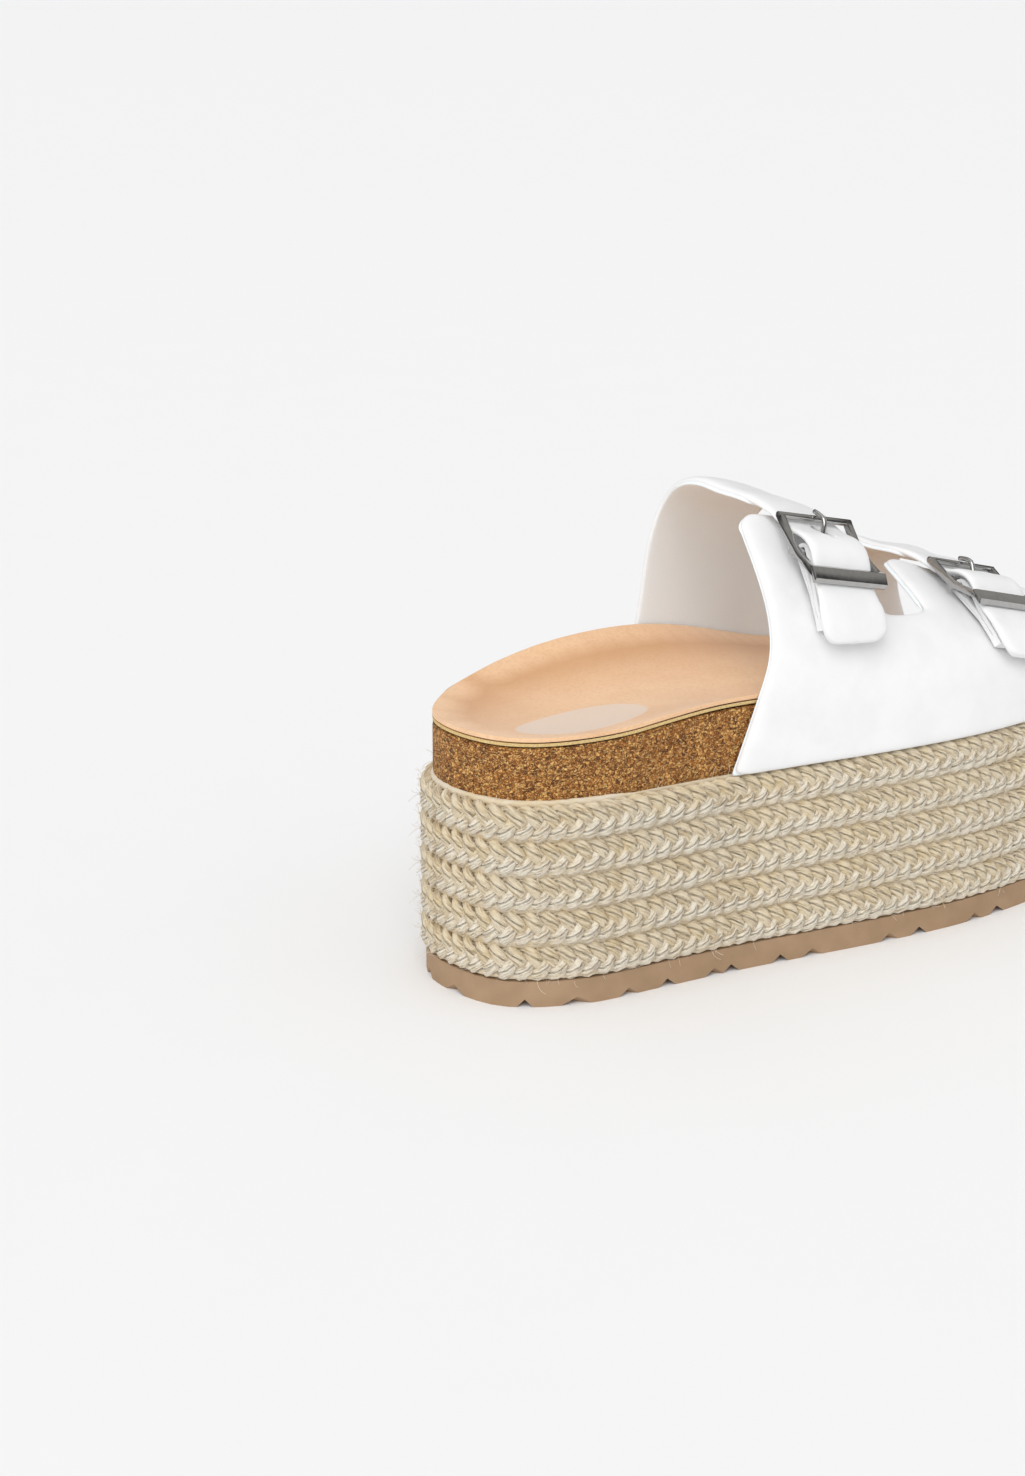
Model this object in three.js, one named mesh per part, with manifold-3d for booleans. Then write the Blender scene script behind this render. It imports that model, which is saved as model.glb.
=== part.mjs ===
// Platform slide sandal, right foot: moulded outsole, platform wrapped in five rows of jute braid,
// cork footbed with a suede insole, and a two-strap upper with two buckles on the outer side.
// Units are millimetres. +X is the outer side of the foot, +Y the toe, +Z up. Z = 0 is the ground.
import * as THREE from "three";
import { mergeVertices } from "three/addons/utils/BufferGeometryUtils.js";
import Module from "manifold-3d";

// Overall sizes
const SOLE_LENGTH = 248;
const HEEL_WIDTH = 72;
const BALL_WIDTH = 94;

// Layers, from the ground up
const OUTSOLE_THICKNESS = 7.2;
const OUTSOLE_INSET = 1.7; // how far the outsole stands back from the face of the braid
const BRAID_ROWS = 5;
const BRAID_PITCH = 9.7; // height of one row with its gap
const BRAID_DEPTH = 6;
const CORK_INSET = 3.2; // how far the cork stands back from the face of the braid
const WOVEN_THICKNESS = 0.9;
const SUEDE_THICKNESS = 1.2;
const GAP = 0.3; // between pieces that touch

// Footbed
const HEEL_RIM = 18; // top of the insole's rim above the braid, at the heel
const OUTER_RIM_RISE = 4;
const ARCH_RIM_RISE = 9;
const TOE_RIM_DROP = 8;
const HEEL_CUP_DEPTH = 6.5;
const TOE_CUP_DEPTH = 3.5;

// Tread
const GROOVE_DEPTH = 2.2;
const GROOVE_WIDTH = 4.6;
const GROOVE_SLANT = 40; // degrees from straight across
const FORWARD_GROOVES = [22, 38, 66, 98, 124, 156, 186, 214]; // where each one leaves the outer edge
const BACKWARD_GROOVES = [12, 53, 74, 90, 137, 168, 198]; // the ones that slant the other way

// Upper
const UPPER_CLEARANCE = 0.4; // between the cork and the lining
const LINING_THICKNESS = 0.9;
const OUTER_THICKNESS = 1.5;
const BELT_THICKNESS = 2.5;
const BELT_WIDTH = 23.2;
const BELT_END = 22.6; // from the middle of the buckle to the belt's tip
const TAB_OVERLAP = 18; // how far a tab runs on past the middle of its buckle
const INSTEP_HEIGHT = 70; // top of the foot space above the braid, under the rear strap
const STRAP_LIFT = 3.1; // how far a strap rises to pass over its tab

// Buckles
const BUCKLE_TILT = 8; // degrees that a buckle stands off the foot
const BUCKLE_BAR_REACH = 11; // from the centre bar to the thin bar
const BUCKLE_PLATE_REACH = 10.5; // from the centre bar to the middle of the wide bar
const BAR_RADIUS = 1.1;
const THIN_BAR_RADIUS = 1;
const PLATE_WIDTH = 5;
const PLATE_THICKNESS = 1.6;
const SIDE_BAR = 1.8;
const BELT_SIDE_ROOM = 0.6; // between the belt and a side bar
const BUCKLE_WIDTH = BELT_WIDTH + 2 * (SIDE_BAR + BELT_SIDE_ROOM);
const PRONG_RADIUS = 0.7;
const PRONG_EYE_RADIUS = 2;
const PRONG_SLOT = 4.4;
const PRONG_HOLE_LENGTH = 6.4;
const PRONG_HOLE_WIDTH = 3.2;
const KEEPER_THICKNESS = 1.1;
const KEEPER_WIDTH = 19;
const KEEPER_LENGTH = 19;

const BRAID_BASE = OUTSOLE_THICKNESS + GAP;
const BRAID_TOP = BRAID_BASE + BRAID_ROWS * BRAID_PITCH;
const FOOTBED_BASE = BRAID_TOP + GAP;
const LINING_INNER = 0.1;
const LINING_OUTER = LINING_INNER + LINING_THICKNESS;
const OUTER_INNER = LINING_OUTER + GAP;
const OUTER_FACE = OUTER_INNER + OUTER_THICKNESS;

// Each buckle: its place along the sole, its distance up the outer side of the foot, and how far
// its line comes down that side for each millimetre towards the toe
const BUCKLES = [
  { name: "rear", y: 107.5, girth: 54.2, lean: 0.12 },
  { name: "front", y: 172, girth: 39, lean: 0.26 },
];

const MATERIALS = {
  outsole: { color: 0xb2957a, roughness: 0.75, metalness: 0 },
  core: { color: 0xbfa98a, roughness: 0.9, metalness: 0 },
  jute: { color: 0xd4cab7, roughness: 0.95, metalness: 0 },
  cork: { color: 0x966937, roughness: 0.9, metalness: 0 },
  woven: { color: 0xd0b070, roughness: 0.9, metalness: 0 },
  suede: { color: 0xe3b98e, roughness: 0.95, metalness: 0 },
  upper: { color: 0xf4f4f4, roughness: 0.5, metalness: 0 },
  lining: { color: 0xeeeeee, roughness: 0.8, metalness: 0 },
  steel: { color: 0xc8c8c8, roughness: 0.2, metalness: 1 },
};

const wasm = await Module();
wasm.setup();
const group = new THREE.Group();

function addMesh(name, geometry, look) {
  const mesh = new THREE.Mesh(geometry, new THREE.MeshStandardMaterial(MATERIALS[look]));
  mesh.name = name;
  group.add(mesh);
}

// --- joining and cutting ---

function toSolid(geometry) {
  const bare = geometry.clone();
  bare.deleteAttribute("normal");
  bare.deleteAttribute("uv");
  const merged = mergeVertices(bare, 1e-3);
  const vertProperties = merged.attributes.position.array;
  const triVerts = new Uint32Array(merged.index.array);
  return new wasm.Manifold(new wasm.Mesh({ numProp: 3, vertProperties, triVerts }));
}

function toGeometry(solid) {
  const mesh = solid.getMesh();
  const geometry = new THREE.BufferGeometry();
  geometry.setAttribute("position", new THREE.BufferAttribute(mesh.vertProperties, 3));
  geometry.setIndex(new THREE.BufferAttribute(mesh.triVerts, 1));
  return geometry;
}

const join = (geometries) => toGeometry(geometries.map(toSolid).reduce((a, b) => a.add(b)));

const cut = (geometry, cutters) =>
  toGeometry(cutters.map(toSolid).reduce((a, b) => a.subtract(b), toSolid(geometry)));

// Moves every vertex of a geometry to where `place` puts it.
function warp(geometry, place) {
  const position = geometry.attributes.position;
  const from = new THREE.Vector3();
  for (let i = 0; i < position.count; i++) {
    from.fromBufferAttribute(position, i);
    const to = place(from);
    position.setXYZ(i, to.x, to.y, to.z);
  }
  return geometry;
}

// Gives a flat grid of cells a thickness: `place` puts each grid point on the inner and outer face,
// and `keep` says which cells are there.
function thicken(columns, rows, keep, place) {
  const sheet = new THREE.PlaneGeometry(1, 1, columns, rows);
  const source = sheet.index.array;
  const count = sheet.attributes.position.count;
  const faces = [];
  for (let cell = 0; cell < columns * rows; cell++) {
    if (!keep(cell % columns, Math.floor(cell / columns))) continue;
    for (let k = 0; k < 6; k += 3) faces.push(Array.from(source.slice(cell * 6 + k, cell * 6 + k + 3)));
  }
  const directed = new Set(faces.flatMap(([a, b, c]) => [`${a}_${b}`, `${b}_${c}`, `${c}_${a}`]));
  const index = [];
  for (const [a, b, c] of faces) {
    index.push(a, c, b, a + count, b + count, c + count);
    for (const [p, q] of [[a, b], [b, c], [c, a]]) {
      if (directed.has(`${q}_${p}`)) continue;
      index.push(p, q, p + count, q, q + count, p + count);
    }
  }
  const positions = [];
  for (const face of ["outer", "inner"]) {
    for (let i = 0; i < count; i++) {
      positions.push(...place(i % (columns + 1), Math.floor(i / (columns + 1)), face).toArray());
    }
  }
  const used = [...new Set(index)].sort((a, b) => a - b);
  const renumber = new Map(used.map((old, i) => [old, i]));
  const geometry = new THREE.BufferGeometry();
  const kept = used.flatMap((i) => positions.slice(3 * i, 3 * i + 3));
  geometry.setAttribute("position", new THREE.Float32BufferAttribute(kept, 3));
  geometry.setIndex(index.map((i) => renumber.get(i)));
  return geometry;
}

// --- numbers ---

const { smoothstep, lerp, clamp, degToRad } = THREE.MathUtils;

// Smooth value at `at` along a list of [place, value] pairs in rising order of place.
function profile(pairs, at) {
  const last = pairs.length - 1;
  if (at <= pairs[0][0]) return pairs[0][1];
  if (at >= pairs[last][0]) return pairs[last][1];
  const i = pairs.findIndex((pair) => pair[0] > at) - 1;
  const slope = (k) => {
    const a = pairs[Math.max(k - 1, 0)];
    const b = pairs[Math.min(k + 1, last)];
    return (b[1] - a[1]) / (b[0] - a[0]);
  };
  const [x0, y0] = pairs[i];
  const [x1, y1] = pairs[i + 1];
  const span = x1 - x0;
  const t = (at - x0) / span;
  const a = y0 + (slope(i) * span) / 3;
  const b = y1 - (slope(i + 1) * span) / 3;
  return (1 - t) ** 3 * y0 + 3 * (1 - t) ** 2 * t * a + 3 * (1 - t) * t * t * b + t ** 3 * y1;
}

// --- sole outline ---

// Points of the outline: share of the length, share of half the width on the outer side and on
// the inner side. The rows up to the waist follow the heel's width, the rest the ball's.
const HEEL_ROWS = [
  [0.02, 0.64, 0.42],
  [0.1, 0.97, 0.87],
  [0.2, 1.04, 0.98],
  [0.3, 1.09, 0.93],
];
const BALL_ROWS = [
  [0.4, 0.9, 0.72],
  [0.5, 0.965, 0.83],
  [0.6, 1.0, 0.935],
  [0.69, 0.97, 1.0],
  [0.79, 0.87, 0.98],
  [0.88, 0.7, 0.86],
  [0.955, 0.4, 0.55],
];

const outlinePoints = [
  ...HEEL_ROWS.map(([along, outer, inner]) => [along, (outer * HEEL_WIDTH) / 2, (inner * HEEL_WIDTH) / 2]),
  ...BALL_ROWS.map(([along, outer, inner]) => [along, (outer * BALL_WIDTH) / 2, (inner * BALL_WIDTH) / 2]),
];
const outline = new THREE.CatmullRomCurve3(
  [
    new THREE.Vector3(0, 0, 0),
    ...outlinePoints.map(([along, outer]) => new THREE.Vector3(outer, along * SOLE_LENGTH, 0)),
    new THREE.Vector3(-0.03 * BALL_WIDTH, SOLE_LENGTH, 0),
    ...outlinePoints
      .toReversed()
      .map(([along, , inner]) => new THREE.Vector3(-inner, along * SOLE_LENGTH, 0)),
  ],
  true,
);
outline.arcLengthDivisions = 800;

// Point of the outline at share u of its way round, moved inwards by inset.
function outlineAt(u, inset) {
  const share = ((u % 1) + 1) % 1;
  const point = outline.getPointAt(share);
  const along = outline.getTangentAt(share);
  return new THREE.Vector2(point.x - along.y * inset, point.y + along.x * inset);
}

const outlineRing = (count, inset) => Array.from({ length: count }, (_, i) => outlineAt(i / count, inset));

// The two sides of the inset outline as lists of [y, x], for looking up a width.
function sidesOf(inset) {
  const ring = outlineRing(480, inset);
  const heel = ring.reduce((best, p, i) => (p.y < ring[best].y ? i : best), 0);
  const toe = ring.reduce((best, p, i) => (p.y > ring[best].y ? i : best), 0);
  const turned = [...ring.slice(heel), ...ring.slice(0, heel)];
  const turn = (toe - heel + ring.length) % ring.length;
  return {
    outer: turned.slice(0, turn + 1),
    inner: [...turned.slice(turn), turned[0]].toReversed(),
    heelY: ring[heel].y,
    toeY: ring[toe].y,
  };
}

function widthAt(side, y) {
  const i = clamp(side.findIndex((p) => p.y > y) - 1, 0, side.length - 2);
  const [a, b] = y >= side.at(-1).y ? side.slice(-2) : [side[i], side[i + 1]];
  return lerp(a.x, b.x, clamp((y - a.y) / Math.max(b.y - a.y, 1e-6), 0, 1));
}

const footbedSides = sidesOf(CORK_INSET);

// --- sole ---

const shapeOf = (points) => new THREE.Shape(points);

function outsole() {
  const points = outlineRing(110, OUTSOLE_INSET);
  const options = { depth: OUTSOLE_THICKNESS, bevelEnabled: false };
  const slab = new THREE.ExtrudeGeometry(shapeOf(points), options);
  const grooves = [
    ...FORWARD_GROOVES.map((y) => groove(y, GROOVE_SLANT)),
    ...BACKWARD_GROOVES.map((y) => groove(y, -GROOVE_SLANT)),
  ];
  return cut(slab, grooves);
}

// A V-shaped groove right across the tread. It leaves the outer edge at y.
function groove(y, slant) {
  const half = GROOVE_WIDTH / 2;
  const below = 1;
  const spread = half * (1 + below / GROOVE_DEPTH);
  const section = shapeOf([
    new THREE.Vector2(-spread, -below),
    new THREE.Vector2(spread, -below),
    new THREE.Vector2(0, GROOVE_DEPTH),
  ]);
  const reach = SOLE_LENGTH;
  const bar = new THREE.ExtrudeGeometry(section, { depth: reach, bevelEnabled: false });
  bar.translate(0, 0, -reach / 2).rotateX(Math.PI / 2).rotateZ(Math.PI / 2 + degToRad(slant));
  const edge = widthAt(footbedSides.outer, y);
  return bar.translate(edge, y, 0);
}

// The block that the braid is wound round. It shares the braid's corner points.
const BRAID_STEPS = 56;

function platformCore() {
  const points = outlineRing(BRAID_STEPS, BRAID_DEPTH + GAP);
  const options = { depth: BRAID_TOP - BRAID_BASE, bevelEnabled: false };
  return new THREE.ExtrudeGeometry(shapeOf(points), options).translate(0, 0, BRAID_BASE);
}

// One row of braid: a ring with a rounded-square section that follows the outline.
function jutebraid(row) {
  const ring = new THREE.TorusGeometry(2, 1, 8, BRAID_STEPS);
  const centre = BRAID_BASE + (row + 0.5) * BRAID_PITCH;
  const halfHeight = (BRAID_PITCH - GAP) / 2;
  return warp(ring, ({ x, y, z }) => {
    const round = Math.atan2(y, x) / (2 * Math.PI);
    const out = Math.hypot(x, y) - 2;
    const turn = Math.atan2(z, out);
    const square = (v) => Math.sign(v) * Math.abs(v) ** 0.5;
    const inset = (BRAID_DEPTH / 2) * (1 - square(Math.cos(turn)));
    const place = outlineAt(round, inset);
    return new THREE.Vector3(place.x, place.y, centre + halfHeight * square(Math.sin(turn)));
  });
}

// --- footbed ---

const rimOuter = (y) =>
  BRAID_TOP +
  HEEL_RIM +
  OUTER_RIM_RISE * smoothstep(y / SOLE_LENGTH, 0.1, 0.3) -
  (OUTER_RIM_RISE + TOE_RIM_DROP) * smoothstep(y / SOLE_LENGTH, 0.33, 0.78);

const rimInner = (y) =>
  BRAID_TOP +
  HEEL_RIM +
  ARCH_RIM_RISE * smoothstep(y / SOLE_LENGTH, 0.04, 0.31) -
  (ARCH_RIM_RISE + TOE_RIM_DROP) * smoothstep(y / SOLE_LENGTH, 0.33, 0.68);

// Height of the insole's top face. `across` runs from -1 at the inner rim to 1 at the outer rim and
// `out` from 0 in the middle of the sole to 1 at its rim.
function insoleTop(across, out, y) {
  const rim = lerp(rimInner(y), rimOuter(y), (across + 1) / 2);
  const forward = smoothstep(y / SOLE_LENGTH, 0.3, 0.6);
  const arch = 5 * smoothstep(y / SOLE_LENGTH, 0.15, 0.4) * (1 - forward) * Math.max(0, -across);
  const depth = lerp(HEEL_CUP_DEPTH + 2 * smoothstep(y / SOLE_LENGTH, 0.2, 0.4), TOE_CUP_DEPTH, forward);
  return rim - (depth - arch) * (1 - out ** 3.2);
}

// A slab over the whole footbed. `below` and `above` give the two faces from the insole's height.
// The square grid is rounded to a disc, and the disc is stretched to the outline.
const FOOTBED_GRID = [8, 24];

function footbedSlab(below, above) {
  const sides = footbedSides;
  const [columns, rows] = FOOTBED_GRID;
  return thicken(columns, rows, () => true, (column, row, face) => {
    const x = (2 * column) / columns - 1;
    const y = (2 * row) / rows - 1;
    const across = x * Math.sqrt(1 - (y * y) / 2);
    const along = y * Math.sqrt(1 - (x * x) / 2);
    const out = Math.min(Math.hypot(across, along), 1);
    const chord = Math.sqrt(Math.max(1 - along * along, 0));
    const share = chord > 1e-4 ? clamp(across / chord, -1, 1) : 0;
    const place = lerp(sides.heelY, sides.toeY, (along + 1) / 2);
    const inner = widthAt(sides.inner, place);
    const outer = widthAt(sides.outer, place);
    const top = insoleTop(share, out, place);
    const height = face === "outer" ? above(top) : below(top);
    return new THREE.Vector3(lerp(inner, outer, (share + 1) / 2), place, height);
  });
}

const SUEDE_DROP = SUEDE_THICKNESS + GAP;
const CORK_DROP = SUEDE_DROP + WOVEN_THICKNESS + GAP;

// --- foot form that the upper is stretched over ---

// Height of the top of the foot space, as a share of INSTEP_HEIGHT, along the sole.
const CROWN_SHARES = [
  [0.25, 1.06],
  [0.38, 1.0],
  [0.44, 0.955],
  [0.505, 0.86],
  [0.605, 0.69],
  [0.705, 0.56],
  [0.85, 0.46],
];
// How square each side of the section is: 2 is an ellipse.
const OUTER_FULLNESS = [
  [0.36, 2.05],
  [0.5, 1.75],
  [0.66, 1.7],
];
const INNER_FULLNESS = 2.85;
const crownHeight = (y) => BRAID_TOP + INSTEP_HEIGHT * profile(CROWN_SHARES, y / SOLE_LENGTH);

// Cross-section of the foot space at y, as points from the bottom of the outer side, over the
// instep, to the bottom of the inner side, each with its distance along the section.
const SECTION_STEPS = 40;

function sectionAt(y) {
  const outerX = widthAt(footbedSides.outer, y) + UPPER_CLEARANCE;
  const innerX = widthAt(footbedSides.inner, y) - UPPER_CLEARANCE;
  const crownX = lerp(innerX, outerX, 0.3);
  const crownZ = crownHeight(y);
  const points = [];
  const add = (x, z) => {
    const before = points.at(-1);
    const girth = before ? before.girth + Math.hypot(x - before.x, z - before.z) : 0;
    points.push({ x, z, girth });
  };
  const quarter = (edgeX, baseZ, fullness, from, to) => {
    for (let i = 1; i <= SECTION_STEPS; i++) {
      const turn = (lerp(from, to, i / SECTION_STEPS) * Math.PI) / 2;
      const sideways = Math.abs(Math.cos(turn)) ** (2 / fullness);
      const up = Math.sin(turn) ** (2 / fullness);
      add(crownX + (edgeX - crownX) * sideways, baseZ + (crownZ - baseZ) * up);
    }
  };
  add(outerX, FOOTBED_BASE);
  add(outerX, rimOuter(y));
  quarter(outerX, rimOuter(y), profile(OUTER_FULLNESS, y / SOLE_LENGTH), 0, 1);
  quarter(innerX, rimInner(y), INNER_FULLNESS, 1, 0);
  add(innerX, FOOTBED_BASE);
  return points;
}

const sectionCache = new Map();
function cachedSection(y) {
  const key = Math.round(y * 1000);
  if (!sectionCache.has(key)) sectionCache.set(key, sectionAt(y));
  return sectionCache.get(key);
}

const girthOf = (y) => cachedSection(y).at(-1).girth;

function footPoint(y, girth) {
  const points = cachedSection(y);
  const end = points.findIndex((p) => p.girth >= girth);
  const i = end < 0 ? points.length - 1 : Math.max(end, 1);
  const [a, b] = [points[i - 1], points[i]];
  const t = (girth - a.girth) / (b.girth - a.girth);
  return new THREE.Vector3(lerp(a.x, b.x, t), y, lerp(a.z, b.z, t));
}

// Outward direction of the foot form's skin.
function footNormal(y, girth) {
  const step = 2;
  const low = clamp(girth - step, 0, girthOf(y));
  const high = clamp(girth + step, 0, girthOf(y));
  const round = footPoint(y, high).sub(footPoint(y, low));
  const along = footPoint(y + step, girth).sub(footPoint(y - step, girth));
  return along.cross(round).normalize();
}

const buckleGirth = (buckle, y) => buckle.girth - buckle.lean * (y - buckle.y);
const overFoot = (y, girth, off) => footPoint(y, girth).addScaledVector(footNormal(y, girth), off);

// --- buckle axes ---

// Axes at the middle of a buckle: `down` runs to the belt's tip, `along` to the toe, `out` away
// from the foot. They are tilted so that the buckle stands off the foot at its wide bar.
function buckleFrame(buckle) {
  const origin = footPoint(buckle.y, buckle.girth);
  const out = footNormal(buckle.y, buckle.girth);
  const half = BUCKLE_WIDTH / 2;
  const edgeAt = (y) => footPoint(y, buckleGirth(buckle, y));
  const along = edgeAt(buckle.y + half).sub(edgeAt(buckle.y - half));
  along.addScaledVector(out, -along.dot(out)).normalize();
  out.applyAxisAngle(along, -degToRad(BUCKLE_TILT));
  const down = new THREE.Vector3().crossVectors(along, out).normalize();
  const matrix = new THREE.Matrix4().makeBasis(along, out, down).setPosition(origin);
  const straight = (ahead, height, aside) => new THREE.Vector3(aside, height, ahead).applyMatrix4(matrix);
  return { buckle, matrix, straight };
}

const frames = BUCKLES.map(buckleFrame);

// --- panels of the upper ---

// Edges of the two strips of a panel across the sole, at share `at` of the way over the foot.
const stripEdges = (edges, at) => edges.map((edge) => profile(edge, at));

// Share across a panel at which the slot between its strips starts and ends.
const SLOT = [0.45, 0.55];
const COLUMN_SHARES = [0, 0.09, 0.18, 0.27, 0.36, SLOT[0], SLOT[1], 0.64, 0.73, 0.82, 0.91, 1];
const COLUMNS = COLUMN_SHARES.length - 1;

function acrossPanel(edges, b) {
  const [y0, y1, y2, y3] = edges;
  if (b <= SLOT[0]) return lerp(y0, y1, b / SLOT[0]);
  if (b >= SLOT[1]) return lerp(y2, y3, (b - SLOT[1]) / (1 - SLOT[1]));
  return lerp(y1, y2, (b - SLOT[0]) / (SLOT[1] - SLOT[0]));
}

const inSlot = (column) => COLUMN_SHARES[column] === SLOT[0];
const buckleAt = (b) => BUCKLES[b < 0.5 ? 0 : 1];

// Outer-side panel: two tabs that stand up from one base. `at` is 0 at the braid and 1 at the tab ends.
const [REAR, FRONT] = BUCKLES;
const TAB_NOTCH = 0.5;
const outerPanelEdges = [
  [
    [0, REAR.y - 36],
    [0.26, REAR.y - 28.5],
    [0.45, REAR.y - 23.5],
    [0.8, REAR.y - 21.5],
    [0.97, REAR.y - 18],
    [1, REAR.y - 14],
  ],
  [[0, REAR.y + 20], [0.5, REAR.y + 18], [0.8, REAR.y + 18], [0.97, REAR.y + 17], [1, REAR.y + 13]],
  [
    [0, FRONT.y - 30],
    [0.5, FRONT.y - 28],
    [0.8, FRONT.y - 27],
    [0.97, FRONT.y - 24],
    [1, FRONT.y - 20],
  ],
  [
    [0, FRONT.y + 40],
    [0.5, FRONT.y + 35],
    [0.8, FRONT.y + 29],
    [0.97, FRONT.y + 22],
    [1, FRONT.y + 18],
  ],
];
const NOTCH_GIRTH = 37.5;
const OUTER_PANEL_ROWS = 20;

function outerPanelGirth(at, b, y) {
  const end = buckleGirth(buckleAt(b), y) + TAB_OVERLAP;
  if (at <= TAB_NOTCH) return (NOTCH_GIRTH * at) / TAB_NOTCH;
  return lerp(NOTCH_GIRTH, end, (at - TAB_NOTCH) / (1 - TAB_NOTCH));
}

function outerPanel(from, to) {
  const keep = (column, row) => !inSlot(column) || (row + 1) / OUTER_PANEL_ROWS <= TAB_NOTCH + 1e-6;
  return thicken(COLUMNS, OUTER_PANEL_ROWS, keep, (column, row, face) => {
    const at = row / OUTER_PANEL_ROWS;
    const b = COLUMN_SHARES[column];
    const y = acrossPanel(stripEdges(outerPanelEdges, at), b);
    return overFoot(y, outerPanelGirth(at, b, y), face === "outer" ? to : from);
  });
}

// Inner-side panel: one base on the inner side, two straps over the instep, and their belts.
// Places along a strap are distances from the middle of its buckle: below zero towards the belt's
// tip, above zero over the instep. Past REACH they are shares of what is left of the section.
const REACH = 32;
const BELT_CORNER = [0, 1, 3, 6]; // places of the rounded corner, from the tip
const BELT_STATIONS = [
  ...BELT_CORNER.map((place) => place - BELT_END),
  ...[-14, -12, -9, -6, -3, 0, 3, 5.5, 8, 11, 16, 20, 25, REACH],
];
const STRAP_SHARES = [0.07, 0.15, 0.23, 0.31, 0.39, 0.47, 0.54, 0.6, 0.66, 0.72, 0.79, 0.86, 0.93, 1];
const SLOT_END = 0.66;
// A strap is straight through its buckle and follows the foot form on both sides of it.
const strapDrape = (place) => Math.max(smoothstep(place, 11.5, 19), smoothstep(-place, 13, 19));
const halfBelt = BELT_WIDTH / 2;
const beltEdge = (side) => [
  ...[0.6, 0.82, 0.95, 1].map((share, i) => [BELT_CORNER[i] - BELT_END, side * halfBelt * share]),
  [12, side * halfBelt],
];
const innerPanelEdges = [
  [
    ...beltEdge(-1),
    [20, -12],
    [REACH, -12.5],
    [REACH + 20, -11.5],
    [REACH + 45, -13.5],
    [REACH + 72, -17],
    [REACH + 100, -27],
  ],
  [
    ...beltEdge(1),
    [20, 14],
    [REACH, 17],
    [REACH + 20, 22],
    [REACH + 45, 31],
    [REACH + 66, 42],
    [REACH + 100, 44],
  ],
  [
    ...beltEdge(-1),
    [20, -14],
    [REACH, -15],
    [REACH + 20, -15],
    [REACH + 45, -14],
    [REACH + 66, -11],
    [REACH + 100, -10],
  ],
  [
    ...beltEdge(1),
    [20, 13],
    [REACH, 16],
    [REACH + 20, 20],
    [REACH + 45, 26],
    [REACH + 66, 31],
    [REACH + 100, 38],
  ],
];

// Row of the inner panel: its place in the edge lists, and its girth on the foot form at y.
const panelRows = [
  ...BELT_STATIONS.map((place) => ({ place, girth: (y, buckle) => buckleGirth(buckle, y) + place })),
  ...STRAP_SHARES.map((share) => ({
    place: REACH + 100 * share,
    girth: (y, buckle) => lerp(buckleGirth(buckle, y) + REACH, girthOf(y), share),
  })),
];

function innerPanelPoint(row, b, off) {
  const edges = innerPanelEdges.map((edge, i) => BUCKLES[i < 2 ? 0 : 1].y + profile(edge, row.place));
  const y = acrossPanel(edges, b);
  const buckle = buckleAt(b);
  const draped = overFoot(y, row.girth(y, buckle), off);
  const frame = frames[BUCKLES.indexOf(buckle)];
  const height = off - strapUnderside(row.place) + profile(BELT_HEIGHT, row.place);
  const straight = frame.straight(-row.place, height, y - buckle.y);
  return straight.lerp(draped, strapDrape(row.place));
}

// Height of the belt's underside in its buckle's axes, along the strap: it goes under the thin bar,
// over the centre bar and under the wide bar.
const KEEPER_ROOM = 0.6; // between the keeper strap and what it lies on or under
const KEEPER_LOW = OUTER_FACE + 0.3 + KEEPER_ROOM; // underside of the keeper strap
const BAR_HEIGHT = KEEPER_LOW + KEEPER_THICKNESS + GAP + BAR_RADIUS;
const FOLD_RADIUS = BAR_RADIUS + GAP + KEEPER_THICKNESS; // outside of the keeper strap's fold
const KEEPER_TOP = KEEPER_LOW + 2 * KEEPER_THICKNESS + GAP; // over its two plies
const BELT_PEAK = BAR_HEIGHT + FOLD_RADIUS + KEEPER_ROOM;
const UNDER_THIN_BAR = OUTER_FACE + 2;
const UNDER_PLATE = KEEPER_TOP - 1.2;
const BELT_HEIGHT = [
  [-18, UNDER_PLATE - 1.4],
  [-13, UNDER_PLATE - 0.8],
  [-BUCKLE_PLATE_REACH, UNDER_PLATE],
  [-6, BELT_PEAK - 1.8],
  [-3, BELT_PEAK - 0.3],
  [0, BELT_PEAK],
  [3, BELT_PEAK - 0.7],
  [7, UNDER_THIN_BAR + 1.4],
  [BUCKLE_BAR_REACH, UNDER_THIN_BAR],
  [16, UNDER_THIN_BAR],
];

// Underside of the outer layer over the foot form: the belt's free end hangs over the keeper
// strap, and a strap comes down from its tab to the lining.
const STRAP_UNDERSIDE = [
  [-BELT_END, KEEPER_TOP - 0.3],
  [-19, KEEPER_TOP + 0.7],
  [-12, KEEPER_TOP + 0.8],
  [TAB_OVERLAP + 2, OUTER_INNER + STRAP_LIFT],
  [REACH, OUTER_INNER],
];
const strapUnderside = (place) => profile(STRAP_UNDERSIDE, place);
const strapThickness = (place) => lerp(BELT_THICKNESS, OUTER_THICKNESS, smoothstep(place, 12, 20));

function innerPanel() {
  const rows = panelRows.length - 1;
  const keep = (column, row) => !inSlot(column) || panelRows[row].place >= REACH + 100 * SLOT_END - 1e-6;
  return thicken(COLUMNS, rows, keep, (column, row, face) => {
    const { place } = panelRows[row];
    const off = strapUnderside(place) + (face === "outer" ? strapThickness(place) : 0);
    return innerPanelPoint(panelRows[row], COLUMN_SHARES[column], off);
  });
}

// The lining stops short of the buckles: the belts are folded double there.
const LINING_END = 20;

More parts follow.
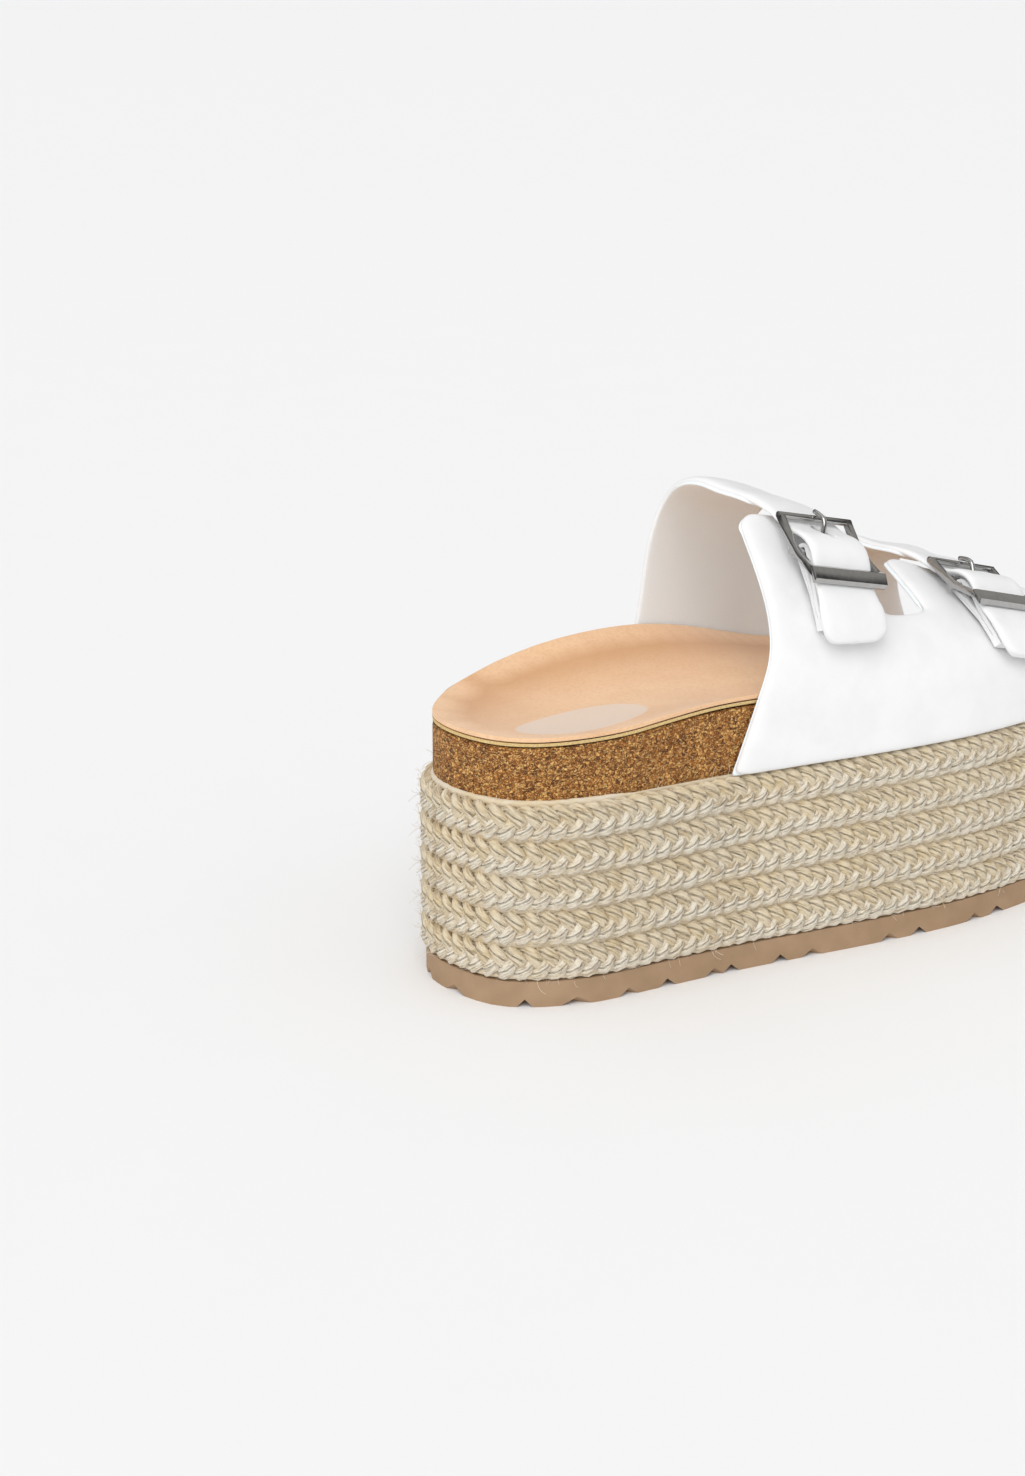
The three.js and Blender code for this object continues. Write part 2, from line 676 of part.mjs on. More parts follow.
function innerPanelLining() {
  const linedRows = panelRows.filter((row) => row.place >= LINING_END);
  const rows = linedRows.length - 1;
  const keep = (column, row) => !inSlot(column) || linedRows[row].place >= REACH + 100 * SLOT_END - 1e-6;
  return thicken(COLUMNS, rows, keep, (column, row, face) => {
    const { place } = linedRows[row];
    const off = strapUnderside(place) - GAP - (face === "outer" ? 0 : LINING_THICKNESS);
    return innerPanelPoint(linedRows[row], COLUMN_SHARES[column], off);
  });
}

// --- buckles ---

// A straight bar along the buckle's width. The section is a list of points in the down-out plane.
function barAlong(section, width) {
  const bar = new THREE.ExtrudeGeometry(shapeOf(section), { depth: width, bevelEnabled: false });
  return warp(bar.translate(0, 0, -width / 2), ({ x, y, z }) => new THREE.Vector3(-z, y, x));
}

const circle = (centre, radius, steps) =>
  Array.from({ length: steps }, (_, i) => {
    const turn = (2 * Math.PI * i) / steps;
    return new THREE.Vector2(centre.x + radius * Math.cos(turn), centre.y + radius * Math.sin(turn));
  });

const BELT_ROOM = 0.55; // between the belt and the bars that hold it down

// Middles of the three bars in the down-out plane.
const OVER_BELT = BELT_THICKNESS + BELT_ROOM;
const THIN_BAR = new THREE.Vector2(-BUCKLE_BAR_REACH, UNDER_THIN_BAR + OVER_BELT + THIN_BAR_RADIUS);
const CENTRE_BAR = new THREE.Vector2(0, BAR_HEIGHT);
const PLATE = new THREE.Vector2(BUCKLE_PLATE_REACH, UNDER_PLATE + OVER_BELT + PLATE_THICKNESS / 2);

// The wide bar lies parallel to the stretch of belt under it.
const beltHeightUnderPlate = (side) => profile(BELT_HEIGHT, -BUCKLE_PLATE_REACH + (side * PLATE_WIDTH) / 2);
const PLATE_TILT = Math.atan2(beltHeightUnderPlate(-1) - beltHeightUnderPlate(1), PLATE_WIDTH);

// The wide bar is a flat strip with bevelled long edges.
function plateSection() {
  const half = PLATE_WIDTH / 2;
  const high = PLATE_THICKNESS / 2;
  const bevel = 0.8;
  const points = [
    [-half, -high],
    [half, -high],
    [half, -high + 0.5],
    [half - bevel, high],
    [-half + bevel, high],
    [-half, -high + 0.5],
  ];
  const middle = new THREE.Vector2();
  return points.map(([x, y]) => new THREE.Vector2(x, y).rotateAround(middle, PLATE_TILT).add(PLATE));
}

// A side bar sags from the thin bar to the centre bar and rises to the wide bar.
function sideBar(side) {
  const middle = CENTRE_BAR.clone().add(new THREE.Vector2(0, 1));
  const dip = (end) => end.clone().lerp(middle, 0.5).add(new THREE.Vector2(0, -0.25));
  const spine = new THREE.CatmullRomCurve3(
    [THIN_BAR, dip(THIN_BAR), middle, dip(PLATE), PLATE].map((p) => new THREE.Vector3(p.x, p.y, 0)),
  );
  const steps = 12;
  const half = SIDE_BAR / 2;
  const edge = (sign) =>
    Array.from({ length: steps + 1 }, (_, i) => {
      const p = spine.getPoint(i / steps);
      const t = spine.getTangent(i / steps);
      return new THREE.Vector2(p.x - sign * t.y * half, p.y + sign * t.x * half);
    });
  const bar = barAlong([...edge(-1), ...edge(1).toReversed()], SIDE_BAR);
  return bar.translate((side * (BUCKLE_WIDTH - SIDE_BAR)) / 2, 0, 0);
}

function buckleFrameSolid(frame) {
  const parts = [
    barAlong(circle(THIN_BAR, THIN_BAR_RADIUS, 12), BUCKLE_WIDTH),
    barAlong(circle(CENTRE_BAR, BAR_RADIUS, 14), BUCKLE_WIDTH - 0.4),
    barAlong(plateSection(), BUCKLE_WIDTH),
    sideBar(1),
    sideBar(-1),
  ];
  return join(parts).applyMatrix4(frame.matrix);
}

// A prong turns on the centre bar with a ring and rests its tip on the thin bar. It lies low under
// the belt, then rises through the belt's hole.
function prong(frame) {
  const [thin, centre] = [THIN_BAR, CENTRE_BAR];
  const eye = shapeOf(circle(centre, PRONG_EYE_RADIUS, 16));
  eye.holes.push(new THREE.Path(circle(centre, BAR_RADIUS + GAP, 16)));
  const ringWidth = 2.2;
  const ring = new THREE.ExtrudeGeometry(eye, { depth: ringWidth, bevelEnabled: false });
  warp(ring.translate(0, 0, -ringWidth / 2), ({ x, y, z }) => new THREE.Vector3(-z, y, x));
  const tipHeight = thin.y + THIN_BAR_RADIUS + GAP + PRONG_RADIUS;
  const path = new THREE.CatmullRomCurve3([
    new THREE.Vector3(0, centre.y + 0.5, centre.x - PRONG_EYE_RADIUS + 0.2),
    new THREE.Vector3(0, centre.y + 0.4, centre.x - 3.2),
    new THREE.Vector3(0, lerp(centre.y + 0.8, tipHeight, 0.55), centre.x - 5.6),
    new THREE.Vector3(0, tipHeight + 0.5, thin.x + 2.8),
    new THREE.Vector3(0, tipHeight, thin.x),
    new THREE.Vector3(0, tipHeight - 0.7, thin.x - 1.6),
  ]);
  const section = shapeOf(circle(new THREE.Vector2(), PRONG_RADIUS, 8));
  const shaft = new THREE.ExtrudeGeometry(section, { steps: 14, extrudePath: path });
  return join([ring, shaft]).applyMatrix4(frame.matrix);
}

// A keeper strap is folded round the centre bar. Its two plies lie on the tab and meet at the
// stitched end. The section is drawn as distances down the belt and off the foot form.
const KEEPER_STATIONS = [4, 8, 12, 16, KEEPER_LENGTH];
const KEEPER_STEPS = 4;

function keeperStrap(frame) {
  const inner = FOLD_RADIUS - KEEPER_THICKNESS;
  const fold = (radius) =>
    Array.from({ length: 9 }, (_, i) => {
      const turn = Math.PI * (0.5 + i / 8);
      return new THREE.Vector2(radius * Math.cos(turn), BAR_HEIGHT + radius * Math.sin(turn));
    });
  const rise = (s) => (2 * inner - GAP) * (1 - smoothstep(s, 1, 9));
  const ply = (stations, off) => stations.map((s) => new THREE.Vector2(s, off(s)));
  const open = KEEPER_STATIONS.slice(0, -1);
  const low = KEEPER_LOW + KEEPER_THICKNESS;
  const section = [
    ...fold(FOLD_RADIUS),
    ...ply(KEEPER_STATIONS, () => KEEPER_LOW),
    ...ply(KEEPER_STATIONS, (s) => low + GAP + KEEPER_THICKNESS + rise(s)).toReversed(),
  ];
  const shape = shapeOf(section);
  const hollow = [
    ...fold(inner),
    ...ply(open, () => low),
    ...ply(open, (s) => low + GAP + rise(s)).toReversed(),
  ];
  shape.holes.push(new THREE.Path(hollow));
  const options = { depth: KEEPER_WIDTH, steps: KEEPER_STEPS, bevelEnabled: false };
  const strap = new THREE.ExtrudeGeometry(shape, options).translate(0, 0, -KEEPER_WIDTH / 2);
  const { buckle } = frame;
  warp(strap, ({ x, y, z }) => {
    const draped = overFoot(buckle.y - z, buckleGirth(buckle, buckle.y - z) - x, y);
    return frame.straight(x, y, -z).lerp(draped, smoothstep(x, 3, 11));
  });
  const slot = new THREE.BoxGeometry(PRONG_SLOT, 20, 6.4).translate(0, CENTRE_BAR.y, CENTRE_BAR.x - 0.6);
  return cut(strap, [slot.applyMatrix4(frame.matrix)]);
}

// The oval hole that the prong comes up through.
function prongHole(frame) {
  const half = PRONG_HOLE_WIDTH / 2;
  const straight = PRONG_HOLE_LENGTH / 2 - half;
  const shape = new THREE.Shape();
  shape.absarc(0, straight, half, 0, Math.PI, false);
  shape.absarc(0, -straight, half, Math.PI, 2 * Math.PI, false);
  const hole = new THREE.ExtrudeGeometry(shape, { depth: 30, bevelEnabled: false, curveSegments: 8 });
  warp(hole.translate(0, 0, -15), ({ x, y, z }) => new THREE.Vector3(x, -z, y));
  return hole.translate(0, CENTRE_BAR.y, lerp(THIN_BAR.x, CENTRE_BAR.x, 0.45)).applyMatrix4(frame.matrix);
}

// --- assembly ---

addMesh("outsole", outsole(), "outsole");
addMesh("platform_core", platformCore(), "core");
for (let row = 0; row < BRAID_ROWS; row++) addMesh(`jute_braid_${row + 1}`, jutebraid(row), "jute");
addMesh("cork_footbed", footbedSlab(() => FOOTBED_BASE, (top) => top - CORK_DROP), "cork");
const wovenLayer = footbedSlab((top) => top - CORK_DROP + GAP, (top) => top - SUEDE_DROP);
addMesh("footbed_woven_layer", wovenLayer, "woven");
addMesh("suede_insole", footbedSlab((top) => top - SUEDE_THICKNESS, (top) => top), "suede");
addMesh("lateral_upper_lining", outerPanel(LINING_INNER, LINING_OUTER), "lining");
addMesh("lateral_upper", outerPanel(OUTER_INNER, OUTER_FACE), "upper");

addMesh("medial_upper_lining", innerPanelLining(), "lining");
addMesh("medial_upper", cut(innerPanel(), frames.map(prongHole)), "upper");
BUCKLES.forEach((buckle, i) => {
  addMesh(`${buckle.name}_buckle_frame`, buckleFrameSolid(frames[i]), "steel");
  addMesh(`${buckle.name}_prong`, prong(frames[i]), "steel");
  addMesh(`${buckle.name}_keeper_strap`, keeperStrap(frames[i]), "upper");
});

// The origin is the middle of the underside.
group.updateMatrixWorld(true);
const box = new THREE.Box3().setFromObject(group);
group.position.set(-(box.min.x + box.max.x) / 2, -(box.min.y + box.max.y) / 2, -box.min.z);

export default group;
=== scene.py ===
import math

import bmesh
import bpy
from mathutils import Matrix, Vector
from mathutils.bvhtree import BVHTree


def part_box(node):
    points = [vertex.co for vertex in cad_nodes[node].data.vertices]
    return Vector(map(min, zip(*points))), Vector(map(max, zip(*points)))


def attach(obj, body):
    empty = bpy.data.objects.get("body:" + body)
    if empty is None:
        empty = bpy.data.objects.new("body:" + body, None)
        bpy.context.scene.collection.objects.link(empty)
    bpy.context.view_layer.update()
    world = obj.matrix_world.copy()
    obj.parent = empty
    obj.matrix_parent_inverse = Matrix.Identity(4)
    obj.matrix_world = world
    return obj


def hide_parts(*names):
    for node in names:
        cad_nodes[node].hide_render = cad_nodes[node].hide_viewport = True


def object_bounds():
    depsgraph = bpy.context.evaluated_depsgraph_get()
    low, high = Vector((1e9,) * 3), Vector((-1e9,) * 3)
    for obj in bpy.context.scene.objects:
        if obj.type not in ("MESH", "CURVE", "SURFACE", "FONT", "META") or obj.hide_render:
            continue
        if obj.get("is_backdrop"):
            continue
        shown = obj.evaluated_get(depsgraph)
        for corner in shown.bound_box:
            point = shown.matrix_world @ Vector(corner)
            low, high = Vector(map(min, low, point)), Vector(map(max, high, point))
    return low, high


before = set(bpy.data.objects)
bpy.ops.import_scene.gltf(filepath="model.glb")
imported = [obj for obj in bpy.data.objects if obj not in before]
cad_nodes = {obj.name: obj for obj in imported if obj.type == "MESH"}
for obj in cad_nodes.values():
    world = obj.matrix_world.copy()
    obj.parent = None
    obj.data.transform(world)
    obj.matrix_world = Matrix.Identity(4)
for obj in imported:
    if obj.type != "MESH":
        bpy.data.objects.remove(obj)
cad_low, cad_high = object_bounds()
scene = bpy.context.scene
MM = 0.001


# --- Studio ---
# The shoe stands on a plain pale sweep under a soft overcast sky with one broad key light, and is
# seen from behind its outer side, a little above it.
class Value:
    """The output of a shader node, ready for sums."""

    def __init__(self, finish, socket):
        self.finish = finish
        self.socket = socket

    def _sum(self, operation, first, second):
        return self.finish.node("ShaderNodeMath", {"operation": operation}, {0: first, 1: second})

    def __add__(self, other):
        return self._sum("ADD", self, other)

    def __radd__(self, other):
        return self._sum("ADD", other, self)

    def __sub__(self, other):
        return self._sum("SUBTRACT", self, other)

    def __rsub__(self, other):
        return self._sum("SUBTRACT", other, self)

    def __mul__(self, other):
        return self._sum("MULTIPLY", self, other)

    def __rmul__(self, other):
        return self._sum("MULTIPLY", other, self)


class Finish:
    """A node tree that a material or the sky is painted with."""

    def __init__(self, owner):
        owner.use_nodes = True
        self.owner = owner
        self.tree = owner.node_tree
        self.tree.nodes.clear()

    def node(self, kind, settings=None, sockets=None, output=0):
        made = self.tree.nodes.new(kind)
        for name, value in (settings or {}).items():
            if name == "stops":
                ramp = made.color_ramp.elements
                while len(ramp) < len(value):
                    ramp.new(0.5)
                for stop, (place, colour) in zip(ramp, value):
                    stop.position = place
                    stop.color = (*colour, 1)
            else:
                setattr(made, name, value)
        for name, value in (sockets or {}).items():
            if isinstance(value, Value):
                self.tree.links.new(value.socket, made.inputs[name])
            else:
                made.inputs[name].default_value = value
        return Value(self, made.outputs[output]) if made.outputs else None

    def place(self, scale=(1, 1, 1)):
        """Object coordinates in millimetres, stretched by scale."""
        coords = self.node("ShaderNodeTexCoord", output="Object")
        per_mm = tuple(1000 * s for s in scale)
        return self.node("ShaderNodeMapping", {}, {"Vector": coords, "Scale": per_mm})

    def noise(self, where, scale, detail=2.0, roughness=0.5, distortion=0.0):
        """Even noise from 0 to 1 with features about 1 / scale apart."""
        sockets = {"Vector": where, "Scale": scale, "Detail": detail}
        sockets.update({"Roughness": roughness, "Distortion": distortion})
        return self.node("ShaderNodeTexNoise", {}, sockets)

    def ramp(self, value, stops):
        return self.node("ShaderNodeValToRGB", {"stops": stops}, {"Fac": value})

    def grey(self, value, low, high, start=0.0, end=1.0):
        """value taken from the range low to high into start to end."""
        sockets = {"Value": value, 1: low, 2: high, 3: start, 4: end}
        return self.node("ShaderNodeMapRange", {}, sockets)

    def mix(self, share, first, second, blend="MIX"):
        """Colour between first and second; plain colours are given as three numbers."""
        full = [c if isinstance(c, Value) else (*c, 1) for c in (first, second)]
        settings = {"data_type": "RGBA", "blend_type": blend}
        return self.node("ShaderNodeMix", settings, {0: share, 6: full[0], 7: full[1]}, output=2)

    def bump(self, height, distance, normal=None):
        """Relief, distance millimetres deep, on top of another relief where one is given."""
        sockets = {"Height": height, "Distance": distance * MM, "Strength": 1.0}
        if normal:
            sockets["Normal"] = normal
        return self.node("ShaderNodeBump", {}, sockets)

    def surface(self, **sockets):
        """Ends the tree in a Principled BSDF and gives back the material."""
        named = {name.replace("_", " "): value for name, value in sockets.items()}
        for name in ("Base Color", "Sheen Tint"):
            if name in named and not isinstance(named[name], Value):
                named[name] = (*named[name], 1)
        shader = self.node("ShaderNodeBsdfPrincipled", {}, named)
        self.node("ShaderNodeOutputMaterial", {}, {"Surface": shader})
        return self.owner


def finish(name):
    return Finish(bpy.data.materials.new(name))


def srgb(*channels):
    """A paint-card colour as light, each channel from 11 to 255."""
    return tuple(((c / 255 + 0.055) / 1.055) ** 2.4 for c in channels)


EYE = Vector((595.5, -512.8, 278.5)) * MM
LOOK = Vector((-0.788, 0.548, -0.281))
LENS = 68.3
FLOOR_SIZE = 60
KEY_WAY = Vector((-0.5, 0.6, -0.72))
KEY_STRENGTH = 1.55
KEY_SPREAD = 50
SKY_LIGHT = (0.675, 0.675, 0.68)

camera = bpy.data.objects.new("camera", bpy.data.cameras.new("camera"))
scene.collection.objects.link(camera)
camera.location = EYE
camera.rotation_euler = LOOK.to_track_quat("-Z", "Y").to_euler()
camera.data.lens = LENS
camera.data.sensor_width = 36
camera.data.clip_end = 100
scene.camera = camera
scene.view_settings.view_transform = "Standard"

floor = bpy.data.objects.new("floor", bpy.data.meshes.new("floor"))
scene.collection.objects.link(floor)
floor_bm = bmesh.new()
bmesh.ops.create_grid(floor_bm, x_segments=1, y_segments=1, size=FLOOR_SIZE / 2)
floor_bm.to_mesh(floor.data)
floor_bm.free()
paint = finish("studio floor")
mottle = paint.noise(paint.place(), 0.02)
pale = paint.mix(mottle, (0.915, 0.915, 0.915), (0.925, 0.925, 0.925))
floor.data.materials.append(paint.surface(Base_Color=pale, Roughness=0.9))
floor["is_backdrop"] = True

key = bpy.data.objects.new("key", bpy.data.lights.new("key", "SUN"))
scene.collection.objects.link(key)
key.data.energy = KEY_STRENGTH
key.data.angle = math.radians(KEY_SPREAD)
key.rotation_euler = KEY_WAY.to_track_quat("-Z", "Y").to_euler()

# Diffuse light comes from an even sky. Gloss sees grey walls under it, as round a real set.
scene.world = bpy.data.worlds.new("sky")
sky = Finish(scene.world)
ray = sky.node("ShaderNodeLightPath", output="Is Glossy Ray")
view_way = sky.node("ShaderNodeTexCoord", output="Generated")
height = sky.node("ShaderNodeSeparateXYZ", {}, {0: view_way}, output=2)
walls = [
    (0.0, (0.5, 0.5, 0.5)),
    (0.5, (0.8, 0.8, 0.8)),
    (0.54, (0.03, 0.03, 0.03)),
    (0.6, (0.1, 0.1, 0.1)),
    (0.68, (0.42, 0.41, 0.39)),
    (0.9, (0.46, 0.45, 0.43)),
    (0.97, (1.0, 1.0, 1.0)),
]
gloss = sky.ramp(height * 0.5 + 0.5, walls)
sky_colour = sky.mix(ray, SKY_LIGHT, gloss)
glow = sky.node("ShaderNodeBackground", {}, {"Color": sky_colour})
sky.node("ShaderNodeOutputWorld", {}, {"Surface": glow})


# --- Outsole ---
# One piece of tan foam rubber, moulded with notched lugs. Its skin is matt with a very fine
# grain and small colour specks.
WELD = 0.002
WALL_LIKENESS = 0.96


def solid_copy(name, *cad_names, quads=False):
    """A new piece with the merged mesh of CAD nodes, which it replaces."""
    bm = bmesh.new()
    for cad_name in cad_names:
        bm.from_mesh(cad_nodes[cad_name].data)
    bmesh.ops.remove_doubles(bm, verts=bm.verts, dist=WELD * MM)
    if quads:
        limit = math.radians(60)
        bmesh.ops.join_triangles(bm, faces=bm.faces, angle_face_threshold=limit, angle_shape_threshold=limit)
    for face in bm.faces:
        face.smooth = True
    mesh = bpy.data.meshes.new(name)
    bm.to_mesh(mesh)
    bm.free()
    piece = bpy.data.objects.new(name, mesh)
    scene.collection.objects.link(piece)
    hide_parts(*cad_names)
    return piece


def done(piece, body, material):
    """Gives a finished piece its material and body."""
    piece.data.materials.clear()
    piece.data.materials.append(material)
    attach(piece, body)


def ring_of(cad_name):
    """Corner points of the upper edge of a CAD block, in order round it."""
    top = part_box(cad_name)[1][2]
    corners = [v.co for v in cad_nodes[cad_name].data.vertices if v.co.z > top - 1e-4]
    points = {tuple(round(c, 6) for c in corner) for corner in corners}
    middle = sum((Vector(p) for p in points), Vector()) / len(points)
    return sorted((Vector(p) for p in points), key=lambda p: math.atan2(p.y - middle.y, p.x - middle.x))


def outward(ring, place):
    """The smooth outward direction of a ring of points beside a place on it."""
    best = None
    for i, start in enumerate(ring):
        end = ring[(i + 1) % len(ring)]
        step = (end - start).to_2d()
        share = min(max((place - start).to_2d().dot(step) / step.length_squared, 0), 1)
        apart = ((place - start).to_2d() - step * share).length
        if best is None or apart < best[0]:
            best = (apart, i, share)
    _, i, share = best
    count = len(ring)
    before = ring[(i + 1) % count] - ring[i - 1]
    after = ring[(i + 2) % count] - ring[i]
    along = before.normalized().lerp(after.normalized(), share)
    return Vector((along.y, -along.x, 0)).normalized()


# Wall faces take the edge's smooth direction, so that no facet or lug line shades across them.
outsole = solid_copy("outsole_rubber", "outsole")
sole_ring = ring_of("outsole")
normals = []
for face in outsole.data.polygons:
    for corner in face.vertices:
        wall = outward(sole_ring, outsole.data.vertices[corner].co)
        normals.append(wall if face.normal.dot(wall) > WALL_LIKENESS else face.normal.copy())
outsole.data.normals_split_custom_set(normals)
paint = finish("foam rubber")
where = paint.place()
grain = paint.noise(where, 6, detail=3)
blotch = paint.noise(where, 0.12)
tan = paint.mix(paint.grey(blotch, 0.35, 0.65), srgb(164, 136, 107), srgb(174, 145, 116))
tan = paint.mix(paint.grey(grain, 0.55, 0.75) * 0.35, tan, srgb(150, 120, 94))
rubber = paint.surface(Base_Color=tan, Roughness=0.8, Normal=paint.bump(grain, 0.08), Specular_IOR_Level=0.3)
done(outsole, "shoe", rubber)


# --- Platform core ---
# The light foam block that gives the shoe its height, with the braid wound and glued round it.
# Only its skin shows, deep between the strands, and it is coloured dark as painted shade for those gaps.
paint = finish("foam block")
where = paint.place()
cells = paint.node("ShaderNodeTexVoronoi", {}, {"Vector": where, "Scale": 1.4})
# Painted shade: the core is given a dark brown so that the gaps between the strands read as shade.
foam = paint.mix(cells, srgb(88, 70, 46), srgb(106, 86, 58))
core_dark_as_shade = paint.surface(Base_Color=foam, Roughness=0.95, Normal=paint.bump(cells, 0.2))
core = cad_nodes["platform_core"]
core.data.materials.clear()
core.data.materials.append(core_dark_as_shade)


# --- Jute braid ---
# Five rows of a flat three-strand plait of jute yarn, wound round the core and stitched to each
# other through their edges. Each strand is a loose bundle of fibres.
def apply_modifiers(piece):
    graph = bpy.context.evaluated_depsgraph_get()
    made = bpy.data.meshes.new_from_object(piece.evaluated_get(graph), depsgraph=graph)
    piece.modifiers.clear()
    piece.data = made
    made.name = piece.name


class Growth:
    """A Geometry Nodes tree with named inputs."""

    def __init__(self, name, **inputs):
        self.tree = bpy.data.node_groups.new(name, "GeometryNodeTree")
        face = self.tree.interface
        face.new_socket("Geometry", in_out="INPUT", socket_type="NodeSocketGeometry")
        for label, value in inputs.items():
            kind = {int: "NodeSocketInt", float: "NodeSocketFloat"}.get(type(value), "NodeSocketMaterial")
            socket = face.new_socket(label, in_out="INPUT", socket_type=kind)
            if kind != "NodeSocketMaterial":
                socket.default_value = value
        face.new_socket("Geometry", in_out="OUTPUT", socket_type="NodeSocketGeometry")
        self.given = self.tree.nodes.new("NodeGroupInput")
        self.values = inputs

    def input(self, label):
        return Value(self, self.given.outputs[label])

    def node(self, kind, settings=None, sockets=None, output=0):
        made = self.tree.nodes.new(kind)
        for name, value in (settings or {}).items():
            setattr(made, name, value)
        for name, value in (sockets or {}).items():
            if isinstance(value, Value):
                self.tree.links.new(value.socket, made.inputs[name])
            else:
                made.inputs[name].default_value = value
        return Value(self, made.outputs[output])

    def sine(self, angle):
        return self.node("ShaderNodeMath", {"operation": "SINE"}, {0: angle})

    def vector(self, x=0.0, y=0.0, z=0.0):
        return self.node("ShaderNodeCombineXYZ", {}, {"X": x, "Y": y, "Z": z})

    def combine(self, operation, first, second):
        """Vector maths on a vector and a second vector, or a number where it is scaled."""
        name = "Scale" if operation == "SCALE" else 1
        return self.node("ShaderNodeVectorMath", {"operation": operation}, {0: first, name: second})

    def end(self, geometry):
        whole = self.node("GeometryNodeRealizeInstances", {}, {"Geometry": geometry})
        sockets = {"Geometry": whole, "Material": self.input("Material")}
        painted = self.node("GeometryNodeSetMaterial", {}, sockets)
        out = self.tree.nodes.new("NodeGroupOutput")
        self.tree.links.new(painted.socket, out.inputs[0])

    def grow(self, piece, **changes):
        """Runs the tree on a piece and keeps the plain mesh."""
        modifier = piece.modifiers.new("growth", "NODES")
        modifier.node_group = self.tree
        for item in self.tree.interface.items_tree:
            if item.in_out == "INPUT" and item.name in {**self.values, **changes}:
                modifier[item.identifier] = {**self.values, **changes}[item.name]
        apply_modifiers(piece)


STRAND_HALF_WIDTH = 1.9
STRAND_HALF_DEPTH = 1.35
STRANDS = 3
PLAIT_TURNS = 42
STEPS_A_TURN = 14
PLAIT_STAND_OFF = 3.3
PLIES = 7
PLY_DEPTH = 0.07
SLACK_CHANGES = 160.0
SLACK_SHIFT = 7.3
SEAM_OUT = -0.4
TOP_SEAM_OUT = -1.4
HAIR_LEAN = 1.5
HAIR_SPIN = 3.1
SHORTEST_HAIR = 0.25
LEAN_SEED = 5
LENGTH_SEED = 9
ROW_SEED_STEP = 3.7


def pushed(ring, distance):
    """A closed flat ring of points moved outwards."""
    moved = []
    for i, point in enumerate(ring):
        along = (ring[(i + 1) % len(ring)] - ring[i - 1]).normalized()
        moved.append(point + Vector((along.y, -along.x, 0)) * distance)
    return moved


def loop_object(name, points):
    """A closed line of points as a mesh."""
    mesh = bpy.data.meshes.new(name)
    mesh.from_pydata(points, [(i, (i + 1) % len(points)) for i in range(len(points))], [])
    piece = bpy.data.objects.new(name, mesh)
    scene.collection.objects.link(piece)
    return piece


plait = Growth(
    "plait",
    Turns=PLAIT_TURNS,
    Steps=PLAIT_TURNS * STEPS_A_TURN,
    Swing=3.15 * MM,
    Weave=1.15 * MM,
    Crown=0.55 * MM,
    Half_width=STRAND_HALF_WIDTH * MM,
    Half_depth=STRAND_HALF_DEPTH * MM,
    Seam_radius=1.15 * MM,
    Seam_up=4.85 * MM,
    Seam_out=SEAM_OUT * MM,
    Lower_seam_down=3.8 * MM,
    Lower_seam_out=-0.1 * MM,
    Hairs_a_square_metre=60000.0,
    Hair_length=6.0 * MM,
    Hair_radius=0.065 * MM,
    Seed=0.0,
    Material=None,
)
line = plait.node("GeometryNodeMeshToCurve", {}, {"Mesh": plait.input("Geometry")})
line = plait.node("GeometryNodeCurveSplineType", {"spline_type": "CATMULL_ROM"}, {"Curve": line})
line = plait.node("GeometryNodeResampleCurve", {}, {"Curve": line, "Count": plait.input("Steps")})
bare_line = line
copies = {"Geometry": line, "Amount": STRANDS}
strands = plait.node("GeometryNodeDuplicateElements", {"domain": "SPLINE"}, copies)
strand_number = Value(plait, strands.socket.node.outputs["Duplicate Index"])
share = plait.node("GeometryNodeSplineParameter", output="Factor")
turns = share * plait.input("Turns") * math.tau
phase = turns + strand_number * (math.tau / STRANDS)
slack_place = plait.vector(share * SLACK_CHANGES, strand_number * SLACK_SHIFT, plait.input("Seed"))
slack = plait.node("ShaderNodeTexNoise", {}, {"Vector": slack_place, "Scale": 1.0, "Detail": 1.0})
loose = (slack - 0.5) * 1.3
out_way = plait.combine("CROSS_PRODUCT", plait.node("GeometryNodeInputTangent"), (0, 0, 1))
swing = plait.sine(phase) * plait.input("Swing") * (1.0 + loose * 0.25)
level = plait.sine(phase)
crown = (1.0 - level * level) * plait.input("Crown")
weave = crown - plait.sine(phase * 2.0) * plait.input("Weave")
offset = plait.combine("ADD", plait.combine("SCALE", out_way, weave), plait.vector(z=swing))
strands = plait.node("GeometryNodeSetPosition", {}, {"Geometry": strands, "Offset": offset})
strands = plait.node("GeometryNodeSetCurveNormal", {"mode": "Z_UP"}, {"Curve": strands})
strands = plait.node("GeometryNodeSetCurveRadius", {}, {"Curve": strands, "Radius": 1.0 + loose * 0.22})
along = plait.node("GeometryNodeCaptureAttribute", {"domain": "POINT"}, {"Geometry": strands})
along.socket.node.capture_items.new("FLOAT", "along")
plait.tree.links.new(turns.socket, along.socket.node.inputs["along"])
along.socket.node.capture_items.new("FLOAT", "level")
plait.tree.links.new(level.socket, along.socket.node.inputs["level"])
section = plait.node("GeometryNodeCurvePrimitiveCircle", {}, {"Resolution": 21, "Radius": 1.0})
section_size = plait.vector(plait.input("Half_depth"), plait.input("Half_width"), 1.0)
section = plait.node("GeometryNodeTransform", {}, {"Geometry": section, "Scale": section_size})
lobes = plait.sine(share * (math.tau * PLIES)) * PLY_DEPTH
ply_way = plait.combine("SCALE", plait.node("GeometryNodeInputPosition"), lobes)
section = plait.node("GeometryNodeSetPosition", {}, {"Geometry": section, "Offset": ply_way})
around = plait.node("GeometryNodeCaptureAttribute", {"domain": "POINT"}, {"Geometry": section})
around.socket.node.capture_items.new("FLOAT", "around")
plait.tree.links.new(share.socket, around.socket.node.inputs["around"])
mesh = plait.node("GeometryNodeCurveToMesh", {}, {"Curve": along, "Profile Curve": around})
along_out = Value(plait, along.socket.node.outputs["along"])
around_out = Value(plait, around.socket.node.outputs["around"])
